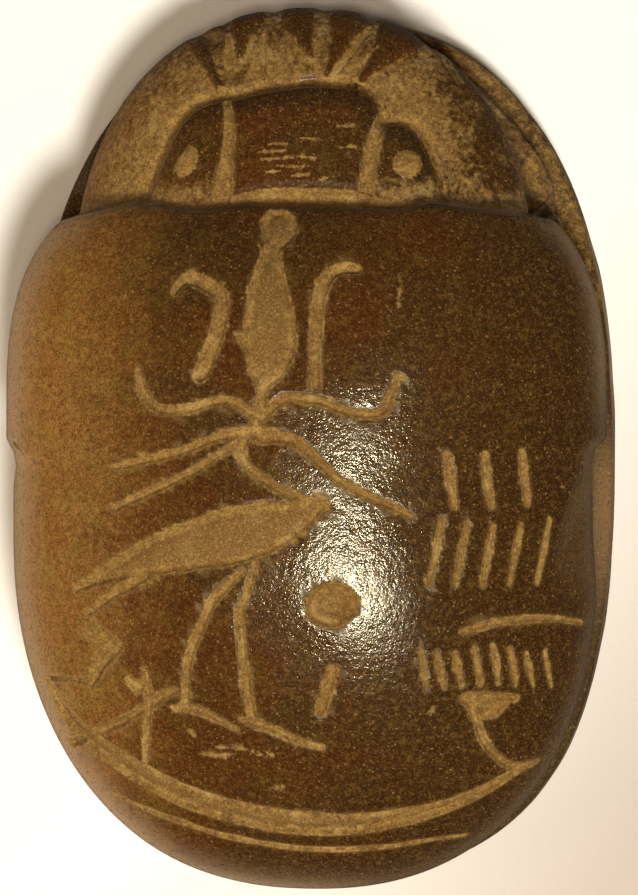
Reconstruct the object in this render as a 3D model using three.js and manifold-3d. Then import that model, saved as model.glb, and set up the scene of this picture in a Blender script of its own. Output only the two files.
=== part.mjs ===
// Heart scarab of polished brown stone, carved in one piece: an oval base, folded legs in low relief,
// a high smooth back with a heron in a boat cut into it, and a low head with a toothed shield.
// Millimetres. +Y points to the head, +X to the right of someone looking down at it, +Z up.

import * as THREE from "three";
import { mergeVertices } from "three/addons/utils/BufferGeometryUtils.js";
import Module from "manifold-3d";

const wasm = await Module();
wasm.setup();

// The whole stone
const length = 60;
const width = 41;
const height = 22;

// Oval base that it lies on
const baseHeight = 3.6;
const baseRound = 0.5;
const baseSetback = 0.3;
const baseFullness = 2.3;

// Flanks between the base and the back, with the legs
const flankInset = 2.2;
const legWidth = 2;
const legRelief = 1.3;

// Back: pronotum in front, wing cases behind, parted by a nick at each side
const backEdgeHeight = 10.4;
const backLip = 1.3;
const crownFall = 1.6;
const pronotumCentre = 2.2;
const pronotumReach = 19;
const pronotumFullness = 2.5;
const wingCaseCentre = -5.6;
const wingCaseSetback = 0.6;
const wingCaseFullness = 2.3;
const waist = -0.7;
const waistLength = 1.6;
const nickDepth = 0.9;
const nickWidth = 2.2;
const frontLine = 16.3;
const frontLineBow = 0.4;

// Low front of the stone: cheeks, head plate, eyes and toothed shield
const cheekWidth = 31.2;
const cheekCentre = 14;
const cheekEdgeHeight = 8.4;
const cheekLip = 1.6;
const crestHeight = 15.4;
const headPlateWidth = 20.8;
const headPlateStart = 15.5;
const headPlateReach = 9;
const headPlateFullness = 2.3;
const headPlateRelief = 0.7;
const eyeRadius = 0.8;
const eyeRelief = 0.35;
const toothRelief = 0.55;
const neckWidth = 1.2;
const neckDepth = 0.6;

// Carving in the back
const lineWidth = 0.65;
const lineDepth = 0.42;
const fieldDepth = 0.4;
const writingDepth = 0.3;
const wallClearance = 0.5;

// The design is drawn flat and seen from a little to the right, so each of its points is carried
// down to the stone along a sight line with this lean, from this distance.
const sightLean = THREE.MathUtils.degToRad(5.5);
const sightDistance = 280;

const ringSegments = 76;
const stoneColour = "#4a2c16";

const halfLength = length / 2;
const halfWidth = width / 2;
const ridgeMiddle = (pronotumCentre + wingCaseCentre) / 2;
const ridgeHalf = (pronotumCentre - wingCaseCentre) / 2;

function smoothStep(from, to, value) {
  return THREE.MathUtils.smoothstep(value, from, to);
}

// Shares of a superellipse: 0 at its centre, 1 on its outline
function ovalShare(across, along, fullness) {
  const sum = Math.abs(across) ** fullness + Math.abs(along) ** fullness;
  return sum ** (1 / fullness);
}

function baseShare(x, y) {
  return ovalShare(x / (halfWidth - baseSetback), y / (halfLength - baseSetback), baseFullness);
}

function flankShare(x, y) {
  const across = x / (halfWidth - baseSetback - flankInset);
  return ovalShare(across, y / (halfLength - baseSetback - flankInset), baseFullness);
}

function backShare(x, y) {
  const waistBlend = smoothStep(waist - waistLength / 2, waist + waistLength / 2, y);
  const reach = halfWidth - wingCaseSetback * (1 - waistBlend);
  if (y > wingCaseCentre) {
    const ahead = Math.max(y - pronotumCentre, 0) / pronotumReach;
    return ovalShare(x / reach, ahead, pronotumFullness);
  }
  const behind = (wingCaseCentre - y) / (halfLength + wingCaseCentre);
  return ovalShare(x / reach, behind, wingCaseFullness);
}

function cheekShare(x, y) {
  return ovalShare(x / (cheekWidth / 2), (y - cheekCentre) / (halfLength - cheekCentre), 2);
}

function headPlateShare(x, y) {
  const across = x / (headPlateWidth / 2);
  return ovalShare(across, (y - headPlateStart) / headPlateReach, headPlateFullness);
}

// Height of a dome over an outline: upright at the edge, level at the top
function domeHeight(edge, top, share) {
  return edge + (top - edge) * Math.sqrt(Math.max(1 - share ** 2, 0));
}

// The back's ridge is highest over the middle of the wing cases and the waist
function backHeight(x, y) {
  const fall = Math.max(Math.abs(y - ridgeMiddle) - ridgeHalf, 0) / halfLength;
  return domeHeight(backEdgeHeight, height - crownFall * fall ** 2, backShare(x, y));
}

function cheekHeight(x, y) {
  return domeHeight(cheekEdgeHeight, crestHeight, cheekShare(x, y));
}

function headHeight(x, y) {
  return cheekHeight(x, y) + (headPlateShare(x, y) < 1 ? headPlateRelief : 0);
}

// Distance from a centre to an outline in one direction, by halving the range that holds it
function reachOf(shareAt, centre, angle) {
  let near = 0;
  let far = length;
  for (let i = 0; i < 40; i++) {
    const middle = (near + far) / 2;
    const share = shareAt(Math.cos(angle) * middle, centre + Math.sin(angle) * middle);
    if (share < 1) near = middle;
    else far = middle;
  }
  return near;
}

function toSolid(geometry) {
  geometry.deleteAttribute("normal");
  geometry.deleteAttribute("uv");
  const merged = mergeVertices(geometry, 1e-5);
  const corners = merged.index.array;
  const kept = [];
  for (let i = 0; i < corners.length; i += 3) {
    const [a, b, c] = corners.subarray(i, i + 3);
    if (a !== b && b !== c && c !== a) kept.push(a, b, c);
  }
  const vertProperties = new Float32Array(merged.attributes.position.array);
  return new wasm.Manifold(
    new wasm.Mesh({ numProp: 3, vertProperties, triVerts: new Uint32Array(kept) }),
  );
}

function join(solids) {
  return solids.reduce((whole, solid) => whole.add(solid));
}

// A turned form drawn out to an outline. The profile runs up from axis to axis, as pairs of a share
// of the outline and a height, which is a number or a function of the place.
function outlinedForm(shareAt, centre, profile) {
  const points = profile.map(([share], i) => new THREE.Vector2(share, i));
  const geometry = new THREE.LatheGeometry(points, ringSegments).rotateX(Math.PI / 2);
  const position = geometry.attributes.position;
  for (let i = 0; i < position.count; i++) {
    const ring = Math.round(position.getZ(i));
    const angle = Math.atan2(position.getY(i), position.getX(i));
    const distance = profile[ring][0] * reachOf(shareAt, centre, angle);
    const x = Math.cos(angle) * distance;
    const y = centre + Math.sin(angle) * distance;
    const level = profile[ring][1];
    position.setXYZ(i, x, y, typeof level === "function" ? level(x, y) : level);
  }
  return toSolid(geometry);
}

// Shares of a dome's rings from its edge to its top, closer together where the dome is steep
function domeRings(count, level) {
  const rings = [];
  for (let i = 1; i <= count; i++) {
    rings.push([Math.cos((i / count) * (Math.PI / 2)), level]);
  }
  rings[count - 1][0] = 0;
  return rings;
}

// A closed bar through stations, each a point, the direction out of the stone there, and the corners
// of the bar's section as pairs of a distance across and a distance outwards.
function barThrough(stations) {
  const last = stations.length - 1;
  const corners = stations[0].corners.length;
  const positions = [];
  stations.forEach((station, i) => {
    const before = stations[Math.max(i - 1, 0)].point;
    const after = stations[Math.min(i + 1, last)].point;
    const along = after.clone().sub(before).normalize();
    const across = along.clone().cross(station.outward).normalize();
    for (const [side, out] of station.corners) {
      const corner = station.point.clone();
      corner.addScaledVector(across, side).addScaledVector(station.outward, out);
      positions.push(...corner.toArray());
    }
  });
  const index = [];
  for (let i = 0; i < last; i++) {
    for (let c = 0; c < corners; c++) {
      const a = i * corners + c;
      const b = i * corners + ((c + 1) % corners);
      index.push(a, b, a + corners, b, b + corners, a + corners);
    }
  }
  for (let c = 1; c < corners - 1; c++) {
    const end = last * corners;
    index.push(0, c + 1, c, end, end + c, end + c + 1);
  }
  const geometry = new THREE.BufferGeometry();
  geometry.setAttribute("position", new THREE.Float32BufferAttribute(positions, 3));
  geometry.setIndex(index);
  return toSolid(geometry);
}

// Where a point of the flat design meets a surface. Designs are drawn in hundredths of half the
// stone's width across and of half its length along.
function placeOn(surface, [across, along]) {
  const seenX = (across / 100) * halfWidth;
  const seenY = (along / 100) * halfLength;
  let x = seenX;
  let y = seenY;
  for (let i = 0; i < 8; i++) {
    const rise = surface(x, y) - backEdgeHeight;
    const nearer = 1 - rise / sightDistance;
    x = seenX * nearer + rise * Math.tan(sightLean);
    y = seenY * nearer;
  }
  return new THREE.Vector3(x, y, surface(x, y));
}

function outwardOf(surface, { x, y }) {
  const step = 0.05;
  const slopeX = (surface(x + step, y) - surface(x - step, y)) / (2 * step);
  const slopeY = (surface(x, y + step) - surface(x, y - step)) / (2 * step);
  return new THREE.Vector3(-slopeX, -slopeY, 1).normalize();
}

// A curve through drawn points, with a width at each, as stations on a surface
function stationsOn(surface, points, widths, sectionOf) {
  const curve = new THREE.CatmullRomCurve3(points.map((point) => placeOn(surface, point)));
  const spans = points.length - 1;
  const steps = points.length > 2 ? spans : 2;
  const stations = [];
  for (let i = 0; i <= steps; i++) {
    const place = (i / steps) * spans;
    const from = Math.min(Math.floor(place), spans - 1);
    const point = curve.getPoint(i / steps);
    point.z = surface(point.x, point.y);
    const outward = outwardOf(surface, point);
    const wide = THREE.MathUtils.lerp(widths[from], widths[from + 1], place - from);
    stations.push({ point, outward, corners: sectionOf(wide) });
  }
  return stations;
}

function evenWidths(points, wide) {
  return points.map((_, i) => (i === 0 || i === points.length - 1 ? 0.7 * wide : wide));
}

// Section of a cut: a V for a line and a flat floor for a field. Its walls run on above the stone.
function cutSection(wide, depth, floorShare) {
  const above = 1 + ((1 - floorShare) * wallClearance) / depth;
  const top = (wide / 2) * above;
  const floor = (wide / 2) * floorShare;
  if (floor === 0) return [[0, -depth], [-top, wallClearance], [top, wallClearance]];
  return [[-floor, -depth], [-top, wallClearance], [top, wallClearance], [floor, -depth]];
}

function cutLine(points, wide = lineWidth, depth = lineDepth, surface = backHeight) {
  const widths = evenWidths(points, wide);
  return barThrough(stationsOn(surface, points, widths, (w) => cutSection(w, depth, 0)));
}

function cutField(points, widths, depth = fieldDepth) {
  return barThrough(stationsOn(backHeight, points, widths, (w) => cutSection(w, depth, 0.7)));
}

function base() {
  const inner = 1 - baseRound / halfWidth;
  return outlinedForm(baseShare, 0, [
    [0, 0],
    [inner, 0],
    [1, baseRound],
    [1, baseHeight - baseRound],
    [inner, baseHeight],
    [0, baseHeight],
  ]);
}

function flanks() {
  const top = backEdgeHeight - backLip / 2;
  return outlinedForm(flankShare, 0, [[0, baseHeight / 2], [1, baseHeight / 2], [1, top], [0, top]]);
}

// Thighs and shins of the three pairs of legs, folded along the flanks: places on the flank in
// degrees round from the right and shares of the height between the base and the back
const legRoutes = [
  [[28, 0.95], [41, 0.35]],
  [[37, 0.28], [52, 0.26], [68, 0.3], [84, 0.26]],
  [[1, 0.95], [16, 0.38]],
  [[18, 0.3], [8, 0.16], [-5, 0.1]],
  [[-27, 0.95], [-11, 0.4]],
  [[-9, 0.28], [-26, 0.2], [-45, 0.18], [-64, 0.12]],
];

function leg(route, side) {
  const half = legWidth / 2;
  const corners = [[-half, -legRelief], [-half / 2, legRelief], [half / 2, legRelief], [half, -legRelief]];
  const stations = route.map(([degrees, share]) => {
    const angle = THREE.MathUtils.degToRad(degrees);
    const distance = reachOf(flankShare, 0, angle);
    const outward = new THREE.Vector3(side * Math.cos(angle), Math.sin(angle), 0);
    const point = outward.clone().multiplyScalar(distance);
    point.z = THREE.MathUtils.lerp(baseHeight, backEdgeHeight - backLip, share);
    return { point, outward, corners };
  });
  return barThrough(stations);
}

function legs() {
  return join(legRoutes.flatMap((route) => [leg(route, 1), leg(route, -1)]));
}

// Pronotum and wing cases, cut off in front by the line that the head begins at
function back() {
  const lipShare = 1 - backLip / halfWidth;
  const dome = outlinedForm(backShare, waist, [
    [0, backEdgeHeight - backLip],
    [lipShare, backEdgeHeight - backLip],
    [(1 + lipShare) / 2 + 0.012, backEdgeHeight - 0.7 * backLip],
    [1, backEdgeHeight],
    ...domeRings(12, backHeight),
  ]);
  return dome.subtract(frontCut());
}

function frontCut() {
  const shape = new THREE.Shape();
  shape.moveTo(width, frontLine - 4 * frontLineBow);
  const steps = 10;
  for (let i = 0; i <= steps; i++) {
    const x = halfWidth * (1 - (2 * i) / steps);
    shape.lineTo(x, frontLine - frontLineBow * (x / halfWidth) ** 2);
  }
  shape.lineTo(-width, frontLine - 4 * frontLineBow);
  shape.lineTo(-width, length);
  shape.lineTo(width, length);
  return toSolid(new THREE.ExtrudeGeometry(shape, { depth: 2 * height, bevelEnabled: false }));
}

function nicks() {
  return join([1, -1].map((side) => {
    const shape = new THREE.Shape();
    shape.moveTo(side * (halfWidth - nickDepth), waist);
    shape.lineTo(side * (halfWidth + nickDepth), waist - nickWidth);
    shape.lineTo(side * (halfWidth + nickDepth), waist + nickWidth);
    const wedge = new THREE.ExtrudeGeometry(shape, { depth: height, bevelEnabled: false });
    wedge.translate(0, 0, backEdgeHeight - 2 * backLip);
    return toSolid(wedge);
  }));
}

function cheeks() {
  const lipShare = 1 - (2 * cheekLip) / cheekWidth;
  return outlinedForm(cheekShare, cheekCentre, [
    [0, cheekEdgeHeight - cheekLip],
    [lipShare, cheekEdgeHeight - cheekLip],
    [1, cheekEdgeHeight],
    ...domeRings(8, cheekHeight),
  ]);
}

function headPlate() {
  const raised = (x, y) => cheekHeight(x, y) + headPlateRelief;
  const sunk = (x, y) => cheekHeight(x, y) - headPlateRelief;
  return outlinedForm(headPlateShare, headPlateStart, [
    [0, cheekEdgeHeight],
    [1, cheekEdgeHeight],
    [1, sunk],
    [0.93, raised],
    [0.5, raised],
    [0, raised],
  ]);
}

// Teeth of the shield: from a wide end at the rim to a narrow one at the head, with both widths
const teeth = [
  { from: [-36, 94], to: [-30, 82], widths: [1.3, 0.5] },
  { from: [-20, 97], to: [-22.5, 89], widths: [2, 0.4] },
  { from: [-3.5, 98], to: [0.5, 88.5], widths: [1.9, 0.4] },
  { from: [13.5, 97], to: [7, 87], widths: [2.3, 0.4] },
  { from: [31, 93.5], to: [16, 82], widths: [2.6, 0.6] },
];

function shieldTeeth() {
  return join(teeth.map(({ from, to, widths }) => {
    const section = (wide) => [
      [-wide / 2, -toothRelief],
      [-wide / 2 + toothRelief / 3, toothRelief],
      [wide / 2 - toothRelief / 3, toothRelief],
      [wide / 2, -toothRelief],
    ];
    return barThrough(stationsOn(cheekHeight, [from, to], widths, section));
  }));
}

function eyes() {
  const centres = [[-41, 65.5], [33, 64.3]];
  return join(centres.map((centre) => {
    const eye = new THREE.SphereGeometry(eyeRadius, 14, 8);
    const place = placeOn(headHeight, centre);
    eye.translate(place.x, place.y, place.z + eyeRelief - eyeRadius);
    return toSolid(eye);
  }));
}

// Grooves of the head: along the front of the back, and one at each side of its middle field
function headGrooves() {
  const neckHalf = (headPlateWidth / 2 + cheekWidth / 2) / 2;
  const neck = [];
  for (let i = -4; i <= 4; i++) {
    const x = (i / 4) * neckHalf;
    const y = frontLine - frontLineBow * (x / halfWidth) ** 2 + neckWidth / 2;
    const point = new THREE.Vector3(x, y, headHeight(x, y));
    const outward = outwardOf(cheekHeight, point);
    neck.push({ point, outward, corners: cutSection(neckWidth, neckDepth, 0.4) });
  }
  const left = [[-26.7, 79], [-25.7, 71.4], [-27.7, 65.5], [-30.7, 56.4]];
  const right = [[25, 74.5], [21.7, 70.5], [20, 64.8], [19, 57.7]];
  const sides = [left, right].map((points) => cutLine(points, lineWidth, lineDepth, headHeight));
  return join([barThrough(neck), ...sides]);
}

// Tall crown on the heron's head: disc, middle field, a plume at each side and a pair of horns
function crownCuts() {
  return join([
    cutField([[-10.6, 54], [-10.4, 52.6], [-10, 49.8], [-9.6, 47], [-9.4, 45.6]], [1.1, 2.2, 2.8, 2.2, 1.1]),
    cutField(
      [[-12.5, 45.5], [-13.7, 36], [-13.3, 29], [-13, 23.5], [-13.7, 19], [-15.3, 14]],
      [1, 2.9, 3.9, 4, 3, 0.8],
    ),
    cutLine([[-14.7, 14.5], [-15.8, 11], [-16.7, 6.5]], 0.9),
    cutLine(
      [[-44.7, 35.7], [-39.7, 39], [-32.3, 37.3], [-28.3, 33.2], [-31, 26], [-34.3, 20], [-37, 16.4]],
      0.95,
    ),
    cutLine([[16.3, 40.9], [11.3, 41.4], [6.3, 39.3], [3.3, 35], [2.3, 29], [1.7, 22], [2.3, 14]], 0.9),
    cutLine([[-56.7, 17.3], [-55.3, 12.7], [-52, 9.5], [-44, 8.4], [-35, 10], [-28.3, 10.9], [-17, 7.3]]),
    cutLine([[-16.5, 7.8], [-5.7, 11.4], [3.7, 10.9], [11.3, 8.4], [18.7, 7.5], [25, 8.5], [29.3, 15.9]]),
  ]);
}

// Heron facing right, with two crest plumes, long beak, folded wing and two legs
function heronCuts() {
  return join([
    cutLine([[-18, 6.4], [-15.3, 2]], 1.1),
    cutLine([[-14, 2.8], [-24.7, 3], [-33, 2], [-41.7, -0.7], [-52, -2.5], [-65, -4.3]]),
    cutLine([[-22, 1.5], [-29.7, -1.1], [-37.7, -4.8], [-48.7, -8.6], [-65, -13.6]]),
    cutLine([[-16, 2.8], [-4.3, 1.6], [3.7, -3], [11.3, -7.7], [22, -11.6], [33.7, -15.5]]),
    cutLine([[-23, 1], [-21.3, -3.9], [-14.7, -7.3], [-7.7, -10], [2, -12.5]]),
    cutField(
      [[-78, -31.8], [-66.3, -28.4], [-55.3, -25.5], [-41.7, -22.7], [-28.3, -20.7], [-16.7, -18.9],
        [-7, -16.8], [-0.3, -14.8], [4.7, -12.5]],
      [0.4, 1.3, 2.3, 3.2, 3.8, 3.5, 2.5, 1.4, 0.5],
    ),
    cutField([[-57, -29.5], [-65.7, -33.6], [-73.7, -37.3]], [1, 0.8, 0.4]),
    cutLine([[-22, -27.5], [-31.7, -34.5], [-35, -39.5], [-39, -44.8], [-41, -50.7], [-41, -59.5]]),
    cutLine([[-44.7, -59.1], [-35, -60], [-24, -63.9]]),
    cutLine([[-18, -26], [-22.7, -37.7], [-22, -48.4], [-19.3, -62]]),
    cutLine([[-22.7, -61.8], [-14.7, -63.2], [-4.3, -66.6], [3.7, -68.2]]),
  ]);
}

// Boat with a broad hull, a line below it, a stern with its ornament, steering oar and prow
function boatCuts() {
  return join([
    cutField(
      [[-86.3, -55], [-78, -63.4], [-68, -68.4], [-54.3, -74.5], [-41.7, -79.1], [-28.3, -82.3],
        [-13, -84.8], [3.7, -85.9], [18.7, -85.7], [33, -84.1], [47.3, -81.4], [60.3, -77.5],
        [74.3, -72.3]],
      [0.6, 1.3, 1.6, 1.85, 1.75, 1.8, 1.8, 1.8, 1.65, 1.4, 1.15, 1, 0.5],
    ),
    cutLine(
      [[-65, -79.5], [-55.3, -81.8], [-41.7, -85.5], [-28.3, -88.4], [-11.3, -90.7], [7, -91.7],
        [25.7, -90.9], [40, -89.3], [52.3, -88.2]],
      0.55,
    ),
    cutLine([[-87.3, -52.5], [-73.7, -53.6]]),
    cutLine([[-71, -41], [-65, -44.8], [-70.3, -48], [-73, -53.8]], 0.8),
    cutLine([[-45.3, -55.9], [-58.7, -60.9], [-69, -63.9], [-81.3, -67.5]], 0.75),
    cutLine([[-54.3, -52], [-54.3, -72]]),
    cutLine([[76, -71.8], [67.3, -72.3], [61.7, -69.8], [58, -66.4], [56, -62], [52.3, -57.5]], 0.7),
    cutLine([[52.3, -57], [68.7, -57], [61, -61.3]], 0.7),
  ]);
}

// Pit of the left-out middle, and one tick under it
function pitCuts() {
  return join([
    cutField([[-2.5, -36.8], [0, -36.6], [7, -36.1], [14, -35.6], [16.8, -35.4]], [1.4, 2.5, 3.2, 2.6, 1.2], 0.55),
    cutLine([[7, -51.1], [3.7, -60.5]], 0.9),
  ]);
}

// Rows of plain shallow strokes at the right, each row as its level, slope and strokes' places
const strokeRows = [
  { level: -7, tall: 12, slant: 1, places: [47.5, 60, 72] },
  { level: -24, tall: 14, slant: -2, places: [42, 51, 60, 69, 78] },
  { level: -50, tall: 8, slant: 1, places: [38, 44, 50, 56, 62, 68, 74, 80] },
];

function strokeRowCuts() {
  const ticks = strokeRows.flatMap(({ level, tall, slant, places }) =>
    places.map((place) =>
      cutLine([[place - slant, level + tall / 2], [place + slant, level - tall / 2]], 0.75, writingDepth),
    ),
  );
  const rule = cutLine([[51, -42], [65, -39.6], [78, -38.8], [91, -39.6]], 0.6, writingDepth);
  return join([...ticks, rule]);
}

function scarab() {
  const trunk = join([base(), flanks(), legs(), cheeks(), headPlate(), shieldTeeth(), eyes()]);
  const cuts = join([nicks(), crownCuts(), heronCuts(), boatCuts(), pitCuts(), strokeRowCuts()]);
  const whole = trunk.subtract(headGrooves()).add(back()).subtract(cuts);
  const { vertProperties, triVerts } = whole.getMesh();
  const geometry = new THREE.BufferGeometry();
  geometry.setAttribute("position", new THREE.BufferAttribute(vertProperties, 3));
  geometry.setIndex(new THREE.BufferAttribute(triVerts, 1));
  const material = new THREE.MeshStandardMaterial({ color: stoneColour, roughness: 0.42, metalness: 0 });
  const mesh = new THREE.Mesh(geometry, material);
  mesh.name = "scarab";
  return mesh;
}

const amulet = new THREE.Group();
amulet.add(scarab());

export default amulet;
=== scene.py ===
import math

import bmesh
import bpy
import numpy as np
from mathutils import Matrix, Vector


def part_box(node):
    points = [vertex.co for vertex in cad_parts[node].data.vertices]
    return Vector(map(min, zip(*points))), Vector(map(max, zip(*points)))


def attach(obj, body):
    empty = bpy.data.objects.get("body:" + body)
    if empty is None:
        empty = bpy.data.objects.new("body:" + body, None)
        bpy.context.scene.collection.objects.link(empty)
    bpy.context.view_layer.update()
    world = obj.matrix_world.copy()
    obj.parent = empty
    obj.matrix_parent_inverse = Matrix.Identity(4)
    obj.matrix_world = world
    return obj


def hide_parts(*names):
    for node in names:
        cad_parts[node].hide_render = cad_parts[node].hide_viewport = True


# Looks of a carved stone heart scarab. Sizes are in millimetres until a mesh is finished, with the
# same axes as the frame: +Y to the head, +X to the right of someone looking down at it, +Z up.

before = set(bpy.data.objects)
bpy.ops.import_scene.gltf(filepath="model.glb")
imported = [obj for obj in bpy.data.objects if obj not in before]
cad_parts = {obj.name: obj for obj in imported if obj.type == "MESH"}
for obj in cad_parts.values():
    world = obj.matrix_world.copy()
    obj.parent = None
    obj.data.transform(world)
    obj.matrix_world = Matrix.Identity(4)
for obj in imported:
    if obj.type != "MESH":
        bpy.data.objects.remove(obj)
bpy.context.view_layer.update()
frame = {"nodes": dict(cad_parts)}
print("frame loaded:", ", ".join(frame["nodes"]))

metre = 1000  # millimetres in one
lowCorner, highCorner = (np.array(corner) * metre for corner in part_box("scarab"))

stone = {
    "halfLength": min(highCorner[1], -lowCorner[1]) - 0.002, "halfWidth": highCorner[0] - 0.002,
    "height": highCorner[2],
    "baseHeight": 3.6, "baseRound": 0.5, "baseSetback": 0.02, "baseEndSetback": 0.2,
    "baseFrontFullness": 2.36, "baseRearFullness": 2.65,
    "flankInset": 2.5, "flankFillet": 0.7,
    "spreadStart": (0.72, 0.92), "spreadEnd": (1.4, 1.2),  # radians round the right cheek
    "legHalfWidth": 1.0, "legRelief": 0.95,
    "backEdge": 10.4, "lip": 1.3, "crownFall": 1.6,
    "pronotumCentre": 2.2, "pronotumReach": 17.2, "pronotumFullness": 3.0,
    "wingCaseCentre": -5.6, "wingCaseSetback": 0.5, "wingCaseFullness": 2.3, "tailLean": 0.38,
    "waist": -0.7, "waistLength": 1.6,
    "nickAt": -0.3, "nickDepth": 0.42, "nickAhead": 0.9, "nickBehind": 2.4, "nickReach": 1.6, "nickLow": 9.0,
    "frontLine": 15.72, "frontLineBow": 0.4, "stepWidth": 0.7,
    "cheekHalfWidth": 15.8, "cheekShift": -0.4, "cheekCentre": 11.5, "cheekFullness": 2.15,
    "cheekEdge": 8.4, "crest": 15.4,
    "rimDipWidth": 0.65, "rimDipShare": 0.011,
    "plateCentre": 0.2, "plateStart": 14.6, "plateRelief": 0.85, "plateBevel": 0.16,
    "plateDitch": 0.36, "ditchShare": 0.04,
    "eyeRelief": 0.32, "toothRelief": 0.5,
    "neckDepth": 0.45, "neckNarrow": 0.35, "neckWide": 0.85, "neckCentre": 1.4, "neckSpread": 5.0,
    "unevenness": 0.045, "sideRoughness": 0.05,  # of the hand-ground back and of the flanks
    "acrossCells": 84, "alongCells": 122,  # faces of the top sheet before it is refined
    "noiseSeed": 7,
}

# The drawing is seen from a little to the right, and its middle isn't quite in the middle of the view
sight = {"lean": math.radians(7.8), "distance": 278.2, "target": (0.986, -0.065, 10.4),
         "drawnCentre": (-0.678, -0.034), "drawnScale": 0.9935}

halfLength = stone["halfLength"]
halfWidth = stone["halfWidth"]
centreY = stone["waist"]  # outlines are measured round this point


def smoothStep(start, end, value):
    share = np.clip((value - start) / (end - start), 0, 1)
    return share * share * (3 - 2 * share)


def ovalShare(across, along, fullness):  # 0 at the centre of a superellipse, 1 on its outline
    return (np.abs(across) ** fullness + np.abs(along) ** fullness) ** (1 / fullness)


def tailShift(y):  # the stone isn't quite even, and its tail leans to the right
    return stone["tailLean"] * smoothStep(-8, -27, y)


def backShare(x, y):
    s = stone
    x = x - tailShift(y)
    blend = smoothStep(s["waist"] - s["waistLength"] / 2, s["waist"] + s["waistLength"] / 2, y)
    reach = halfWidth - s["wingCaseSetback"] * (1 - blend)
    ahead = np.maximum(y - s["pronotumCentre"], 0) / s["pronotumReach"]
    behind = np.maximum(s["wingCaseCentre"] - y, 0) / (halfLength + s["wingCaseCentre"])
    front = ovalShare(x / reach, ahead, s["pronotumFullness"])
    rear = ovalShare(x / reach, behind, s["wingCaseFullness"])
    return np.where(y > s["wingCaseCentre"], front, rear)


rimDips = [-7.4, -5.8, -2.3, 1.15, 4.4, 8.2]  # between the ends of the teeth


def cheekShare(x, y):
    s = stone
    ahead = (y - s["cheekCentre"]) / (halfLength - s["cheekCentre"])
    dips = sum(np.exp(-((x - place) / s["rimDipWidth"]) ** 2) for place in rimDips)
    dips = dips * smoothStep(18, 24, y) * s["rimDipShare"]
    return ovalShare((x - s["cheekShift"]) / s["cheekHalfWidth"], ahead, s["cheekFullness"]) + dips


def plateShare(x, y):
    across, along = x - stone["plateCentre"], y - stone["plateStart"]
    return np.hypot(across, along) / np.interp(np.arctan2(along, across), *plateRim)


def footShare(x, y, sideInset, endInset):
    across, along = (x - tailShift(y)) / (halfWidth - sideInset), y / (halfLength - endInset)
    front = ovalShare(across, along, stone["baseFrontFullness"])
    return np.where(y > 0, front, ovalShare(across, along, stone["baseRearFullness"]))


def baseShare(x, y):
    return footShare(x, y, stone["baseSetback"], stone["baseEndSetback"])


def flankShare(x, y):
    return footShare(x, y, stone["flankInset"], stone["flankInset"])


frontWaver = [  # cut by hand
    (-17, -0.25), (-13, 0.2), (-10.9, 0.5), (-9, 0.25), (-6.9, -0.1), (-5, -0.05), (-3.4, 0.1), (4.2, -0.2),
    (6.3, -0.35), (7.8, -0.1), (9.2, 0.3), (10.6, 0.15), (12.4, -0.05), (17, -0.2),
]


def frontLineAt(x):
    waver = np.interp(x, *np.transpose(frontWaver))
    return stone["frontLine"] + waver - stone["frontLineBow"] * (x / halfWidth) ** 2


def topShare(x, y):  # the back and the cheeks together
    back = np.where(y < frontLineAt(x), backShare(x, y), 9)
    return np.minimum(back, cheekShare(x, y))


def domeHeight(edge, top, share):
    return edge + (top - edge) * np.sqrt(np.maximum(1 - share ** 2, 0))


def backHeight(x, y):
    s = stone
    middle = (s["pronotumCentre"] + s["wingCaseCentre"]) / 2
    level = (s["pronotumCentre"] - s["wingCaseCentre"]) / 2
    fall = np.maximum(np.abs(y - middle) - level, 0) / halfLength
    return domeHeight(s["backEdge"], s["height"] - s["crownFall"] * fall ** 2, backShare(x, y))


def cheekHeight(x, y):
    return domeHeight(stone["cheekEdge"], stone["crest"], cheekShare(x, y))


def headHeight(x, y):
    s = stone
    share = plateShare(x, y)
    inward = np.clip((1 - share) / s["plateBevel"], 0, 1)
    plate = s["plateRelief"] * np.sqrt(1 - (1 - inward) ** 2)  # its edge is rounded over
    ditch = s["plateDitch"] * np.exp(-((share - 1 - s["ditchShare"]) / (0.7 * s["ditchShare"])) ** 2)
    neck = s["neckDepth"] * (1 - smoothStep(-0.15, 0.25, y - frontLineAt(x) - neckBand(x)))
    return cheekHeight(x, y) + plate - ditch - neck


def neckBand(x):  # width of the groove in front of the back, widest in the middle
    s = stone
    return s["neckNarrow"] + s["neckWide"] * np.exp(-((x - s["neckCentre"]) / s["neckSpread"]) ** 4)


def topHeight(x, y):
    step = smoothStep(0, stone["stepWidth"], y - frontLineAt(x))
    return backHeight(x, y) * (1 - step) + headHeight(x, y) * step


def makeOutline(shareAt):  # distance from the centre to an outline, for any direction
    angles = np.linspace(-math.pi, math.pi, 2881)
    near = np.zeros_like(angles)
    far = np.full_like(angles, 2 * halfLength)
    for _ in range(40):
        middle = (near + far) / 2
        inside = shareAt(np.cos(angles) * middle, centreY + np.sin(angles) * middle) < 1
        near = np.where(inside, middle, near)
        far = np.where(inside, far, middle)
    return lambda angle: np.interp(angle, angles, near)


topOutline = makeOutline(topShare)
baseOutline = makeOutline(baseShare)
flankOutline = makeOutline(flankShare)


def latticeNoise(points, size, seed):  # smooth noise between -1 and 1, the same on every run
    lattice = np.random.default_rng(stone["noiseSeed"] + seed).random((32, 32, 32)) * 2 - 1
    scaled = np.asarray(points) / size
    cell = np.floor(scaled).astype(int)
    part = scaled - cell
    part = part * part * (3 - 2 * part)
    total = np.zeros(len(scaled))
    for corner in np.ndindex(2, 2, 2):
        weight = np.prod(np.where(np.array(corner) == 1, part, 1 - part), axis=1)
        at = (cell + corner) % 32
        total += weight * lattice[at[:, 0], at[:, 1], at[:, 2]]
    return total


print("forms ready")

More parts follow.
